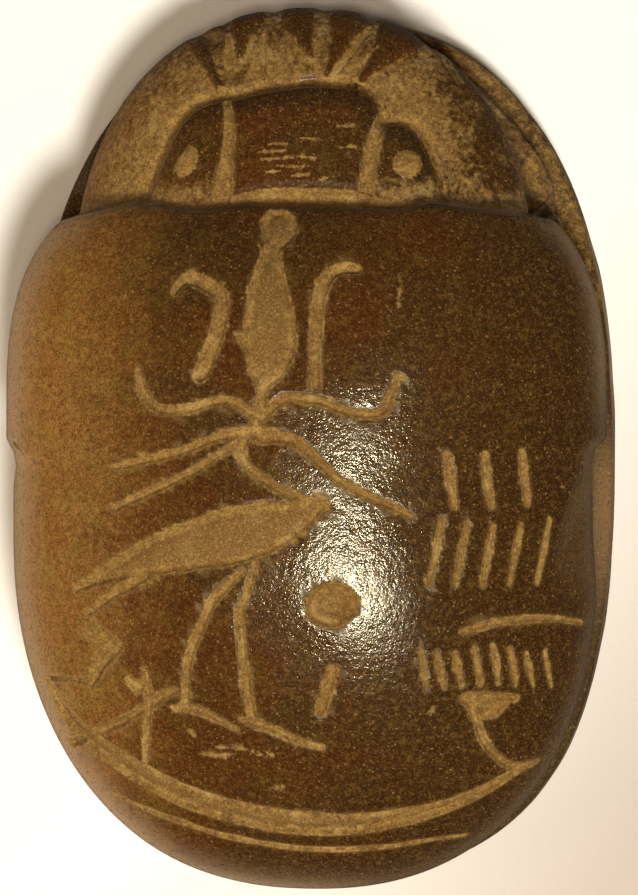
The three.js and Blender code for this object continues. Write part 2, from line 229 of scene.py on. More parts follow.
# The drawing, in hundredths of half the stone's width across and of half its length along

crown = [
    {"path": [(-10.9, 53.6), (-10.3, 51.5), (-9.8, 49.4), (-9.9, 47.2)], "wide": [1.35, 2.4, 2.4, 1.45]},
    {"path": [(-11.2, 47), (-12.6, 44)], "wide": [1.2, 1.2]},
    {"path": [(-12.5, 44.5), (-13.7, 37), (-13.4, 29), (-13, 23.5), (-13.9, 19), (-15.3, 14.4)],
     "wide": [1.4, 2.5, 3.45, 3.55, 2.75, 0.9]},
    {"path": [(-23.5, 25.7), (-20.3, 22.8)], "wide": [0.5, 0.9]},
    {"path": [(-14.9, 15), (-15.9, 11.5), (-16.4, 7)], "wide": [0.9, 0.8, 1.0]},
    {"path": [(-45, 35.4), (-42.5, 37.8), (-39, 38.5), (-33, 36.8), (-29, 33.2), (-31, 26), (-34.2, 20),
              (-36.6, 16.6)], "wide": [0.5, 0.9, 1.05, 1.1, 1.1, 1.15, 1.2, 1.1]},
    {"path": [(15.8, 40.7), (11.3, 41.0), (6.8, 39.3), (3.7, 35), (2.7, 29), (2, 22), (2.3, 14)],
     "wide": [0.8, 1.0, 1.0, 1.0, 0.95, 0.9, 0.8]},
    {"path": [(-57, 17.6), (-55.5, 12.9), (-51.5, 9.3), (-44, 8.3), (-35, 9.9), (-28.5, 10.8),
              (-23, 9.5), (-16.7, 6.6)], "wide": [0.55, 0.75, 0.7, 0.66, 0.7, 0.72, 0.7, 0.75]},
    {"path": [(-16.2, 6.8), (-11, 9.8), (-5.7, 11.2), (3.7, 10.6), (11.3, 8.5), (18.7, 7.5), (24.3, 8.3),
              (27, 11.5), (29.5, 16)], "wide": [0.75, 0.75, 0.75, 0.68, 0.62, 0.66, 0.66, 0.62, 0.5]},
]

heron = [
    {"path": [(-17.2, 7), (-17.3, 4.2), (-15.5, 2.6)], "wide": [1.0, 1.0, 1.1]},
    {"path": [(-13, 2.8), (-19, 3.3), (-26, 3), (-33, 1.8), (-41.7, -0.7), (-52, -2.5), (-65, -4.4)],
     "wide": [0.95, 1.0, 0.85, 0.68, 0.62, 0.6, 0.6]},
    {"path": [(-22.5, 1.2), (-26, 0), (-30.5, -1.7), (-37.7, -5), (-48.7, -8.6), (-57, -11.2), (-65, -13.8)],
     "wide": [0.8, 0.62, 0.6, 0.62, 0.6, 0.58, 0.56]},
    {"path": [(-16, 2.6), (-10, 2.4), (-4.3, 1.2), (-0.3, -0.8), (3.7, -3.6), (11.3, -8), (22, -11.8),
              (29.3, -13.9), (34, -15.7)], "wide": [1.0, 0.9, 0.85, 0.75, 0.65, 0.62, 0.6, 0.55, 0.4]},
    {"path": [(-22.4, 2), (-22.9, -1), (-20.7, -4.2), (-14.7, -7.5), (-7.7, -10.2), (0.5, -12.4),
              (4.5, -13.2)], "wide": [1.1, 0.8, 0.68, 0.62, 0.62, 0.72, 0.85]},
    {"path": [(-78, -32.2), (-72, -30.2), (-66.3, -28.4), (-55.3, -25.5), (-41.7, -22.7), (-28.3, -20.6),
              (-16.7, -18.7), (-7, -16.7), (-0.3, -14.7), (4.7, -12.7)],
     "wide": [0.5, 0.9, 1.3, 2.3, 3.2, 3.8, 3.5, 2.5, 1.5, 0.6]},
    {"path": [(-56, -29), (-61, -31.5), (-65.7, -33.6), (-73.7, -37.5)], "wide": [1.1, 0.85, 0.65, 0.5]},
    {"path": [(-22.3, -28), (-27, -31.2), (-31.9, -34.6), (-35.2, -39.5), (-38.7, -44.8), (-40.8, -50.7),
              (-41.3, -59)], "wide": [0.5, 0.66, 0.72, 0.7, 0.68, 0.66, 0.68]},
    {"path": [(-45.3, -59.2), (-40, -59.4), (-35, -60.4), (-24, -64.2)], "wide": [0.4, 0.75, 0.7, 0.45]},
    {"path": [(-17.7, -26), (-20.2, -31.8), (-22.8, -37.5), (-22.9, -41), (-21.9, -48.4), (-20.5, -55.5),
              (-19, -61.5)], "wide": [0.42, 0.5, 0.6, 0.64, 0.66, 0.68, 0.75]},
    {"path": [(-22.9, -61.6), (-18, -62.8), (-12.7, -64), (-4.3, -66.6), (4.3, -68.3)],
     "wide": [0.4, 0.7, 0.7, 0.62, 0.55]},
]

boat = [
    {"path": [(-87, -52.8), (-83, -59), (-77.5, -63.4), (-68, -69), (-54.3, -75), (-41.7, -79.2),
              (-28.3, -82.3), (-13, -84.7), (3.7, -85.8), (18.7, -85.6), (33, -84), (47.3, -81.2),
              (60.3, -77.2), (69, -73.8), (75.5, -71.6)],
     "wide": [0.6, 1.2, 1.5, 1.75, 2.0, 2.0, 2.0, 2.05, 2.0, 1.75, 1.5, 1.2, 1.0, 0.8, 0.5]},
    {"path": [(-65, -79), (-55.3, -82), (-41.7, -85.5), (-28.3, -88.3), (-11.3, -90.6), (7, -91.6),
              (25.7, -90.9), (40, -89.4), (52.3, -88.2)],
     "wide": [0.35, 0.5, 0.55, 0.55, 0.55, 0.55, 0.5, 0.42, 0.3]},
    {"path": [(-87.3, -52.4), (-80, -52.7), (-73.5, -53.6)], "wide": [0.5, 0.5, 0.5]},
    {"path": [(-72.5, -39.5), (-68, -43.3), (-65, -45.2), (-69.3, -48), (-71.3, -51), (-73, -54)],
     "wide": [0.45, 1.0, 1.4, 1.3, 1.0, 0.6]},
    {"path": [(-74.5, -42), (-69.5, -43.8)], "wide": [0.5, 0.8]},
    {"path": [(-44.6, -55.4), (-48, -56.3), (-55, -59.3), (-62, -62.2), (-71, -65), (-79.3, -67.3)],
     "wide": [0.7, 0.75, 0.75, 0.75, 0.8, 0.7]},
    {"path": [(-54.5, -51.4), (-54, -60), (-54.8, -72.5)], "wide": [0.55, 0.62, 0.5]},
    {"path": [(-60.5, -53), (-57.5, -54.4), (-54.8, -53.6)], "wide": [0.6, 1.0, 0.6]},
    {"path": [(76, -71.5), (71, -72.6), (66.5, -72.2), (61.7, -69.8), (58, -66.2), (56, -62), (54, -58.8)],
     "wide": [0.5, 0.65, 0.7, 0.66, 0.64, 0.66, 0.8]},
    {"path": [(52.3, -57.2), (60, -56.9), (68.9, -57)], "wide": [0.9, 0.8, 0.6]},
    {"path": [(66, -57.9), (62, -60.2), (58.3, -61)], "wide": [0.5, 0.9, 0.6]},
    {"path": [(54.5, -58), (59, -58.8), (63.5, -58.4)], "wide": [0.8, 1.1, 0.6]},
]

pit = [
    {"path": [(4.6, -36.6), (7.3, -35.9), (9.8, -35.6)], "wide": [2.3, 3.05, 2.7], "deep": 0.5, "rise": -0.4},
    {"path": [(8, -50.7), (6.6, -53.5), (4, -60.2)], "wide": [0.7, 0.85, 0.75]},
]

# Plain shallow strokes in rows at the right, with a rule between them
strokeRows = [
    {"level": -7, "tall": 12, "slant": 1, "places": [47.5, 60, 72], "wide": 0.78},
    {"level": -24, "tall": 14, "slant": -2, "places": [42, 51, 60, 69, 78], "wide": 0.58},
    {"level": -50, "tall": 8, "slant": 1, "places": [38, 44, 50, 56, 62, 68, 74, 80], "wide": 0.55},
]
rule = {"path": [(51, -42), (58, -40.4), (65, -39.6), (78, -38.8), (91, -39.6)],
        "wide": [0.4, 0.6, 0.6, 0.6, 0.4], "deep": 0.28}

scratches = [  # hair lines from handling and from the carver's point slipping
    [(-33, -67), (-22, -68.4), (-9, -70.5)], [(-31, -68), (-20, -69.4), (-12, -70.4)],
    [(-35, -69.5), (-27, -70.2)], [(-16, -77), (-9, -77.6)], [(-15, -78), (-8.5, -78.3)],
    [(-39, -61.5), (-39.3, -66)], [(-21.5, 46.3), (-17.5, 46.6)], [(-4, 46.3), (0, 46.4), (5, 45.9)],
    [(-29.7, 44), (-29.5, 40.4)], [(30.7, 40.5), (30, 37), (29.3, 32.5)], [(27.5, 44), (27.2, 42.4)],
    [(78, -10), (85.5, -8.6)], [(40, -59), (45, -63), (49, -67)],
]

# The stone is worn flat along this ridge, behind the right nick
facetRidge = [(99, 3.9), (93.3, -0.5), (89.7, -5.7), (85, -13.2), (81.7, -19), (79.5, -24), (78, -30)]
facet = {"slope": 0.3, "width": 1.5, "start": 0.4, "end": -11.5, "fade": 6.5}
shoulder = [  # short cut behind the left nick
    {"path": [(-99, 1.2), (-96.5, -0.4), (-94.5, -2.4), (-93.6, -3.6)], "wide": [0.3, 0.28, 0.22, 0.12],
     "deep": 0.1},
]

# Drawing of the head: the plate's two grooves, its scratches, the raised teeth and the eyes
headGrooves = [
    {"path": [(-27.4, 79), (-26.6, 74), (-26.7, 69), (-28, 63), (-28.9, 56)],
     "wide": [0.6, 0.75, 0.9, 1.1, 1.35], "deep": 0.26},
    {"path": [(25, 75.5), (21.9, 70.5), (20.4, 64.8), (18.6, 56.5)], "wide": [0.8, 0.95, 1.05, 1.15],
     "deep": 0.26},
]
plateOutline = [  # a broad field with an eye's lobe at each side
    (-53.3, 52), (-52.6, 57.5), (-50.3, 62.7), (-48, 66.3), (-44.7, 71.6), (-38.5, 76.8), (-31, 79),
    (-23, 79.8), (-15.7, 81.1), (-6.3, 82), (1, 82.5), (10.3, 82.3), (16.7, 81.6), (21, 79.6), (23.2, 76.2),
    (25.2, 73.6), (28.5, 73.9), (32.3, 73.3), (36.2, 71.2), (39.3, 67.4), (41.6, 63), (43.2, 58.6), (44, 52),
]
headScratches = [
    [(-17, 67.4), (-8, 67.8)], [(-16, 65.8), (-5, 66.2)], [(-11, 64.2), (-2, 64)],
    [(-14.5, 62.8), (-9.5, 63.1)], [(9.5, 73.3), (15, 73.4)], [(10, 68.4), (15.5, 68.8)],
    [(-4, 66.5), (2, 66)], [(3, 61), (6, 61.6)], [(-6, 62), (0, 62.3)], [(-13, 69.2), (-7, 69.4)],
    [(-3, 70.6), (4, 70.4)],
]
teeth = [
    {"path": [(-39.5, 94.4), (-35, 88.8), (-30, 82.8)], "wide": [1.5, 1.0, 0.55]},
    {"path": [(-20.3, 97.6), (-21.5, 92.8), (-22.8, 88.9)], "wide": [2.5, 1.15, 0.3]},
    {"path": [(-3.3, 98.4), (-1.6, 93.2), (0.7, 88.9)], "wide": [2.2, 1.0, 0.3]},
    {"path": [(13.7, 97.4), (10.8, 92.6), (8, 87.7), (6, 85)], "wide": [2.6, 1.2, 0.6, 0.35]},
    {"path": [(31.5, 94.4), (25.5, 89.6), (20.3, 85.7), (15.7, 82.3)], "wide": [3.3, 1.6, 0.75, 0.35]},
]
oliveFacet = {"from": -2.0, "to": -0.6, "drop": 0.32}  # lies lower than the field to the left of it
shieldCuts = [  # between the teeth
    {"path": [(19.5, 94.5), (13, 88.5), (8.5, 84.5)], "wide": [0.55, 0.5, 0.35], "deep": 0.25},
    {"path": [(22, 90.5), (17, 86.5), (13, 83)], "wide": [0.5, 0.5, 0.35], "deep": 0.25},
    {"path": [(-14.8, 94), (-15.2, 88), (-15, 84)], "wide": [0.5, 0.6, 0.4], "deep": 0.22},
    {"path": [(-27, 94), (-26.5, 88), (-26, 84)], "wide": [0.5, 0.6, 0.4], "deep": 0.2},
]
eyes = [
    {"at": (-41, 65.2), "half": (0.65, 1.0), "turn": -28},
    {"at": (32.8, 64.8), "half": (0.88, 0.84), "turn": 0},
]

carving = {"lineDepth": 0.37, "rowDepth": 0.27, "scratchDepth": 0.05, "scratchWidth": 0.15, "wall": 0.33,
           "hollowStart": 0.35, "hollowEnd": 1.0, "hollowRise": 0.16,  # wide fields swell inside their edge
           "wobble": 0.055, "chatter": 0.02, "toolMarks": 0.035, "spans": 6, "margin": 1.1}


def curveThrough(points, values, spans):  # a smooth curve through drawn points, with a width at each
    points = np.array(points, float)
    padded = np.vstack([2 * points[0] - points[1], points, 2 * points[-1] - points[-2]])
    places, widths = [], []
    for i in range(len(points) - 1):
        before, start, end, after = padded[i:i + 4]
        for t in np.linspace(0, 1, spans, endpoint=False):
            bend = 2 * start + (end - before) * t + (2 * before - 5 * start + 4 * end - after) * t ** 2
            places.append((bend + (3 * start - before - 3 * end + after) * t ** 3) / 2)
            widths.append(values[i] * (1 - t) + values[i + 1] * t)
    return np.array(places + [points[-1]]), np.array(widths + [values[-1]])


def placeOn(surface, drawn):  # carries drawn points down to the stone along the sight line
    lean, targetX, targetY, targetZ = sight["lean"], *sight["target"]
    seen = np.asarray(drawn) / 100 * (halfWidth, halfLength) * sight["drawnScale"] + sight["drawnCentre"]
    x, y = seen[:, 0].copy(), seen[:, 1].copy()
    for _ in range(12):
        rise = surface(x, y) - targetZ
        nearer = 1 - ((x - targetX) * math.sin(lean) + rise * math.cos(lean)) / sight["distance"]
        x = targetX + (seen[:, 0] * nearer + rise * math.sin(lean)) / math.cos(lean)
        y = targetY + seen[:, 1] * nearer
    return np.column_stack([x, y, surface(x, y)])


def outlineRim():  # angle and distance of the plate's outline from the plate's own middle
    drawn, _ = curveThrough(plateOutline, [0] * len(plateOutline), carving["spans"])
    across, along = (placeOn(cheekHeight, drawn)[:, :2] - (stone["plateCentre"], stone["plateStart"])).T
    angle = np.arctan2(along, across)
    order = np.argsort(angle)
    return angle[order], np.hypot(across, along)[order]


plateRim = outlineRim()


def prepareStroke(surface, path, wide, deep, rise=0.0):
    drawn, widths = curveThrough(path, wide, carving["spans"])
    return {"points": placeOn(surface, drawn), "half": widths / 2, "deep": deep, "rise": rise}


def prepareAll(surface, strokes, deep):
    usual = {"deep": deep, "rise": carving["hollowRise"]}
    return [prepareStroke(surface, **{**usual, **stroke}) for stroke in strokes]


def prepareScratches(surface, paths):
    width, deep = carving["scratchWidth"], carving["scratchDepth"]
    return [prepareStroke(surface, path, [width] * len(path), deep) for path in paths]


def rowStrokes():
    for row in strokeRows:
        for i, place in enumerate(row["places"]):
            shift = 0.9 * math.sin(5 * i + row["level"])  # no two ticks are quite alike
            top = (place - row["slant"] + shift / 2, row["level"] + row["tall"] / 2 + shift)
            end = (place + row["slant"], row["level"] - row["tall"] / 2 + shift / 3)
            middle = ((top[0] + end[0]) / 2 + shift / 3, (top[1] + end[1]) / 2)
            wide = row["wide"]
            yield {"path": [top, middle, end], "wide": [wide * 0.7, wide, wide * 0.6],
                   "deep": carving["rowDepth"]}


backCuts = prepareAll(backHeight, [*crown, *heron, *boat, *pit, *rowStrokes(), rule], carving["lineDepth"])
backHairs = prepareScratches(backHeight, scratches)
shoulderCuts = prepareAll(backHeight, shoulder, carving["rowDepth"])
headCuts = prepareAll(headHeight, headGrooves + shieldCuts, carving["lineDepth"])
headHairs = prepareScratches(headHeight, headScratches)
toothForms = prepareAll(cheekHeight, teeth, stone["toothRelief"])
eyePlaces = placeOn(headHeight, [eye["at"] for eye in eyes])
ridgePlaces = placeOn(backHeight, facetRidge)[::-1]


def facetCut(x, y):  # how far the worn flat lies below the round back
    beyond = x - np.interp(y, ridgePlaces[:, 1], ridgePlaces[:, 0])
    along = smoothStep(facet["start"] + 0.3, facet["start"] - 0.3, y)
    along *= smoothStep(facet["end"], facet["end"] + facet["fade"], y)
    return facet["slope"] * np.clip(beyond, 0, facet["width"]) * along


def facetShare(x, y):
    return facetCut(x, y) / (facet["slope"] * facet["width"])


def insideStroke(points, stroke):  # distance in from the edge of a stroke, and which points are near it
    route, half = stroke["points"], stroke["half"]
    reach = half.max() + carving["margin"]
    low, high = route.min(axis=0) - reach, route.max(axis=0) + reach
    near = np.flatnonzero(np.all((points > low) & (points < high), axis=1))
    start, step = route[:-1], np.diff(route, axis=0)
    offset = points[near, None] - start
    share = np.clip((offset * step).sum(axis=2) / (step ** 2).sum(axis=1), 0, 1)
    gap = np.linalg.norm(offset - share[..., None] * step, axis=2)
    return near, (half[:-1] + share * np.diff(half) - gap).max(axis=1, initial=-carving["margin"])


def cutBy(points, strokes):  # depth below the skin, and the greatest distance in from an edge
    depth = np.zeros(len(points))
    inside = np.full(len(points), -carving["margin"])
    waver = carving["wobble"] * latticeNoise(points, 0.8, 1)
    waver += carving["chatter"] * latticeNoise(points, 0.25, 2)
    for stroke in strokes:
        near, within = insideStroke(points, stroke)
        waved = within + waver[near]
        swell = stroke["rise"] * smoothStep(carving["hollowStart"], carving["hollowEnd"], waved)
        cut = stroke["deep"] * smoothStep(0, carving["wall"], waved) - swell
        depth[near] = np.maximum(depth[near], cut)
        inside[near] = np.maximum(inside[near], waved)
    return depth, inside


def raisedBy(points, strokes):
    inside = cutBy(points, strokes)[1]
    return smoothStep(-0.12, 0.26, inside), inside


def eyeShares(points):  # 0 at the middle of the nearer eye and 1 at its edge
    shares = []
    for eye, place in zip(eyes, eyePlaces):
        turn = math.radians(eye["turn"])
        across, along = points[:, 0] - place[0], points[:, 1] - place[1]
        turnedX = across * math.cos(turn) + along * math.sin(turn)
        turnedY = along * math.cos(turn) - across * math.sin(turn)
        shares.append(np.hypot(turnedX / eye["half"][0], turnedY / eye["half"][1]))
    return np.minimum(*shares)


def outwardAt(x, y):
    gap = 0.04
    slopeX = (topHeight(x + gap, y) - topHeight(x - gap, y)) / (2 * gap)
    slopeY = (topHeight(x, y + gap) - topHeight(x, y - gap)) / (2 * gap)
    outward = np.column_stack([-slopeX, -slopeY, np.ones_like(x)])
    return outward / np.linalg.norm(outward, axis=1)[:, None]


print("carving ready:", len(backCuts) + len(headCuts), "cuts")


def positionsOf(bm):
    return np.array([vert.co for vert in bm.verts])


def moveTo(bm, positions):
    for vert, place in zip(bm.verts, positions):
        vert.co = place


def topSheet():  # a grid warped to the outline, with its cells evenly spread over the dome
    bm = bmesh.new()
    bmesh.ops.create_grid(bm, x_segments=stone["acrossCells"], y_segments=stone["alongCells"], size=1)
    grid = positionsOf(bm)
    p = grid[:, 0] * np.sqrt(1 - grid[:, 1] ** 2 / 2)
    q = grid[:, 1] * np.sqrt(1 - grid[:, 0] ** 2 / 2)
    share = np.hypot(p, q)
    spread = 0.4 * share + 0.6 * np.sin(share * math.pi / 2)  # closer together at the steep edge
    angle = np.arctan2(q * halfLength, p * halfWidth)
    reach = spread * topOutline(angle)
    moveTo(bm, np.column_stack([np.cos(angle) * reach, centreY + np.sin(angle) * reach, np.zeros(len(grid))]))
    return bm


def refine(bm, isFine):  # halves the edges that lie wholly in a zone, but for the sheet's own edge
    bm.verts.index_update()
    fine = isFine(positionsOf(bm))
    edges = [edge for edge in bm.edges if fine[edge.verts[0].index] and fine[edge.verts[1].index]]
    edges = [edge for edge in edges if not edge.is_boundary]
    bmesh.ops.subdivide_edges(bm, edges=edges, cuts=1, use_grid_fill=True)


def onSkin(positions):
    return np.column_stack([positions[:, :2], topHeight(positions[:, 0], positions[:, 1])])


def nearestEdge(positions, strokes):
    skin = onSkin(positions)
    best = np.full(len(skin), -carving["margin"])
    for stroke in strokes:
        near, within = insideStroke(skin, stroke)
        best[near] = np.maximum(best[near], within)
    return best


allCuts = backCuts + shoulderCuts + headCuts + toothForms
allHairs = backHairs + headHairs


def coarseZone(positions):
    x, y = positions[:, 0], positions[:, 1]
    nick = (np.abs(y - stone["nickAt"] + 0.7) < 2.4) & (np.abs(x) > halfWidth - 2.6)
    flat = (facetCut(x, y) > 0) & (facetShare(x, y) < 0.5)
    return (nearestEdge(positions, allCuts) > -0.6) | (y > frontLineAt(x) - 0.6) | nick | flat


def middleZone(positions):
    x, y = positions[:, 0], positions[:, 1]
    step = np.abs(y - frontLineAt(x) - 0.5) < 0.9
    plate = (np.abs(plateShare(x, y) - 1) < 0.08) & (y > frontLineAt(x))
    eye = eyeShares(positions) < 1.3
    hairs = nearestEdge(positions, allHairs) > -0.15
    return (nearestEdge(positions, allCuts) > -0.22) | step | plate | eye | hairs


def fineZone(positions):
    inside = nearestEdge(positions, allCuts)
    return (np.abs(inside - 0.06) < 0.14) | (nearestEdge(positions, allHairs) > -0.05)


def carveTop(bm):  # puts the sheet on the dome and cuts the drawing into it
    positions = positionsOf(bm)
    x, y = positions[:, 0], positions[:, 1]
    skin = onSkin(positions)
    depth, inside = cutBy(skin, backCuts + shoulderCuts + headCuts)
    hairDepth, hairInside = cutBy(skin, allHairs)
    tooth, _ = raisedBy(skin, toothForms)
    eye = eyeShares(skin)
    onHead = smoothStep(0, 0.4, y - frontLineAt(x))
    edgeFade = smoothStep(0, 0.06, 1 - topShare(x, y))  # nothing lifts the edge past the outline
    relief = stone["toothRelief"] * tooth * onHead * edgeFade
    relief += stone["eyeRelief"] * np.sqrt(np.maximum(1 - eye ** 2, 0))
    relief -= facetCut(x, y) + oliveCut(x, y)
    uneven = latticeNoise(skin, 5.5, 3) + 0.3 * latticeNoise(skin, 2.1, 4)
    grind = stone["unevenness"] * (uneven - 1.3) * edgeFade
    marks = carving["toolMarks"] * latticeNoise(skin, 0.4, 5) * smoothStep(0, 0.3, depth)
    lift = relief + grind + marks - np.maximum(depth, hairDepth)
    placed = skin + outwardAt(x, y) * lift[:, None]
    moveTo(bm, cutNicks(placed))
    return inside, hairInside, tooth, eye


def oliveCut(x, y):  # a facet of the shield that leans down to one sharp side
    f = oliveFacet
    along = (y > stone["frontLine"]) * smoothStep(1.02, 1.08, plateShare(x, y))
    along = along * smoothStep(0.02, 0.1, 1 - cheekShare(x, y))
    across = np.clip((f["to"] - x) / (f["to"] - f["from"]), 0, 1)
    across *= smoothStep(f["from"] - 0.12, f["from"] + 0.08, x)
    return f["drop"] * across * along


def cutNicks(positions):  # a notch at each side between the pronotum and the wing cases
    x, y, z = positions.T
    s = stone
    ahead = 1 - np.maximum(y - s["nickAt"], 0) / s["nickAhead"]
    notch = np.clip(np.minimum(ahead, 1 - np.maximum(s["nickAt"] - y, 0) / s["nickBehind"]), 0, 1)
    side = smoothStep(halfWidth - s["nickReach"], halfWidth - 0.2, np.abs(x))
    above = smoothStep(s["nickLow"], s["nickLow"] + 0.5, z)
    inward = s["nickDepth"] * notch * side * above
    return np.column_stack([x - np.sign(x) * inward, y, z])


dusting = {  # greatest shares of powder, and where each starts and is full
    "cutEdge": (-0.04, 0.06), "tailThins": 0.3, "tail": (-18, -23), "hairs": 0.7, "hairEdge": (-0.05, 0.03),
    "head": (0.05, 0.35), "offPlate": (0.985, 1.01), "cheeks": 0.65, "rightCheekLess": 0.26,
    "rightCheek": (8, 13), "rimLess": 0.2, "rim": (0.04, 0.22), "toothLess": 0.9, "patches": 0.26,
    "patchSize": 1.9, "neck": 0.9, "neckEnd": (0.2, 0.55), "lowPlate": 0.6, "lowPlateEnd": (0.4, 3.0),
    "lowPlateSides": (4.5, 6), "eyes": 0.9, "eyeEdge": (0.95, 1.25),
}


def dustOf(positions, inside, hairInside, tooth, eye):  # pale powder that lies in the carving
    d = dusting
    x, y = positions[:, 0], positions[:, 1]
    past = y - frontLineAt(x)
    pastNeck = past - neckBand(x)
    cut = smoothStep(*d["cutEdge"], inside) * (1 - d["tailThins"] * smoothStep(*d["tail"], y))
    hairs = d["hairs"] * smoothStep(*d["hairEdge"], hairInside)
    rim = 1 - smoothStep(*d["rim"], 1 - cheekShare(x, y))
    cheeks = d["cheeks"] - d["rightCheekLess"] * smoothStep(*d["rightCheek"], x) - d["rimLess"] * rim
    cheeks = smoothStep(*d["offPlate"], plateShare(x, y)) * cheeks * (1 - d["toothLess"] * tooth)
    cheeks = cheeks * (1 + d["patches"] * latticeNoise(positions, d["patchSize"], 8))
    neck = d["neck"] * (1 - smoothStep(*d["neckEnd"], pastNeck))
    lowPlate = d["lowPlate"] * (1 - smoothStep(*d["lowPlateEnd"], pastNeck))
    lowPlate = lowPlate * smoothStep(*d["lowPlateSides"], np.abs(x - stone["plateCentre"]))
    eyeDust = d["eyes"] * (1 - smoothStep(*d["eyeEdge"], eye))
    head = smoothStep(*d["head"], past) * np.maximum.reduce([cheeks, neck, lowPlate, eyeDust])
    return np.maximum.reduce([cut, hairs, head])


legRoutes = [  # thighs and shins: degrees round the flank, and share of the height from base to back
    [(28, 0.95), (41, 0.35)], [(37, 0.28), (52, 0.26), (68, 0.3), (84, 0.26)],
    [(1, 0.95), (16, 0.38)], [(18, 0.3), (8, 0.16), (-5, 0.1)],
    [(-27, 0.95), (-11, 0.4)], [(-9, 0.28), (-26, 0.2), (-45, 0.18), (-64, 0.12)],
]


def flankPlace(angle, share):  # a point on the flank by its angle round the stone's own middle
    near, far = np.zeros_like(angle), np.full_like(angle, 2 * halfLength)
    for _ in range(40):
        middle = (near + far) / 2
        inside = flankShare(np.cos(angle) * middle, np.sin(angle) * middle) < 1
        near, far = np.where(inside, middle, near), np.where(inside, far, middle)
    low, high = stone["baseHeight"], stone["backEdge"] - stone["lip"]
    return np.column_stack([np.cos(angle) * near, np.sin(angle) * near, low + (high - low) * share])


def legForms():
    forms = []
    for route in legRoutes:
        for side in (1, -1):
            steps, _ = curveThrough(route, [1] * len(route), 8)
            points = flankPlace(np.radians(steps[:, 0]), steps[:, 1]) * (side, 1, 1)
            half = np.linspace(1.05, 0.8, len(points)) * stone["legHalfWidth"]
            forms.append({"points": points, "half": half, "deep": stone["legRelief"], "rise": 0.0})
    return forms


legShapes = legForms()


def sideRings(start):  # distances out and heights of each ring under the edge of the top sheet
    angle = np.arctan2(start[:, 1] - centreY, start[:, 0])
    rim = np.hypot(start[:, 0], start[:, 1] - centreY)
    edge = start[:, 2]
    flank = np.minimum(flankOutline(angle), rim - 0.35)
    base = baseOutline(angle)
    lip = np.minimum(stone["lip"], rim - flank)
    low, rounding, fillet = stone["baseHeight"], stone["baseRound"], stone["flankFillet"]
    out = base - rounding
    spread = smoothStep(*stone["spreadStart"], angle) * smoothStep(*stone["spreadEnd"], angle)
    room = np.maximum(out - fillet - 0.2 - flank, 0)
    foot = flank + room * spread  # the cheek's flank runs out to the base
    lip = lip * (1 - 0.7 * spread)
    for turn in np.linspace(15, 90, 6):
        a = math.radians(turn)
        yield angle, rim - lip * (1 - math.cos(a)), edge - stone["lip"] * math.sin(a)
    top = edge - stone["lip"]
    start = flank + (rim - lip - flank) * spread
    yield angle, start, top - 0.25
    for share in np.linspace(0.06, 1, 13):
        yield angle, start * (1 - share) + foot * share, (top - 0.25) * (1 - share) + (low + fillet) * share
    for turn in (30, 60, 90):
        a = math.radians(turn)
        yield angle, foot + fillet * (1 - math.cos(a)), low + fillet * (1 - math.sin(a))
    yield angle, np.maximum((foot + fillet + out) / 2, foot + 0.1), np.full_like(rim, low)
    for turn in (0, 30, 60, 90):
        a = math.radians(turn)
        yield angle, out + rounding * math.sin(a), low - rounding * (1 - math.cos(a))
    for height in np.linspace(low - rounding, rounding, 5)[1:]:
        yield angle, base, np.full_like(rim, height)
    for turn in (30, 60, 90):
        a = math.radians(turn)
        yield angle, base - rounding * (1 - math.cos(a)), np.full_like(rim, rounding * (1 - math.sin(a)))
    for share in (0.9, 0.7, 0.45, 0.2):
        yield angle, out * share, np.zeros_like(rim)


def addSides(bm):  # extrudes the sheet's edge down the flanks and round the base, and closes it below
    edges = [edge for edge in bm.edges if edge.is_boundary]
    verts = sorted({vert for edge in edges for vert in edge.verts}, key=lambda vert: vert.index)
    start = np.array([vert.co for vert in verts])
    order = {vert: i for i, vert in enumerate(verts)}
    for angle, distance, height in sideRings(start):
        made = bmesh.ops.extrude_edge_only(bm, edges=edges)["geom"]
        edges = [item for item in made if isinstance(item, bmesh.types.BMEdge) and item.is_boundary]
        ring = {}
        for vert in {vert for edge in edges for vert in edge.verts}:
            below = [edge.other_vert(vert) for edge in vert.link_edges if edge.other_vert(vert) in order]
            i = order[below[0]]
            vert.co = (math.cos(angle[i]) * distance[i], centreY + math.sin(angle[i]) * distance[i],
                       np.broadcast_to(height, distance.shape)[i])
            ring[vert] = i
        order = ring
    bmesh.ops.edgeloop_fill(bm, edges=edges)


def shapeSides(bm, topCount):  # raises the legs out of the flanks and roughens the sides a little
    bm.normal_update()
    positions = positionsOf(bm)
    sides = np.arange(len(positions)) >= topCount
    outward = np.array([vert.normal for vert in bm.verts])
    raised, inside = raisedBy(positions, legShapes)
    band = smoothStep(stone["baseHeight"] + 0.2, stone["baseHeight"] + 0.8, positions[:, 2])
    band *= 1 - smoothStep(stone["backEdge"] - 1.8, stone["backEdge"] - 1.2, positions[:, 2])
    lift = stone["legRelief"] * raised * band
    rough = stone["sideRoughness"] * (1 + latticeNoise(positions, 2.4, 6)) * (positions[:, 2] > 0.02)
    lift -= rough * smoothStep(0, 1, stone["backEdge"] - positions[:, 2])
    placed = positions + outward * (lift * sides)[:, None]
    placed[sides] = cutNicks(placed)[sides]
    moveTo(bm, placed)
    return smoothStep(-0.5, 0.0, inside) * (1 - raised) * sides * band


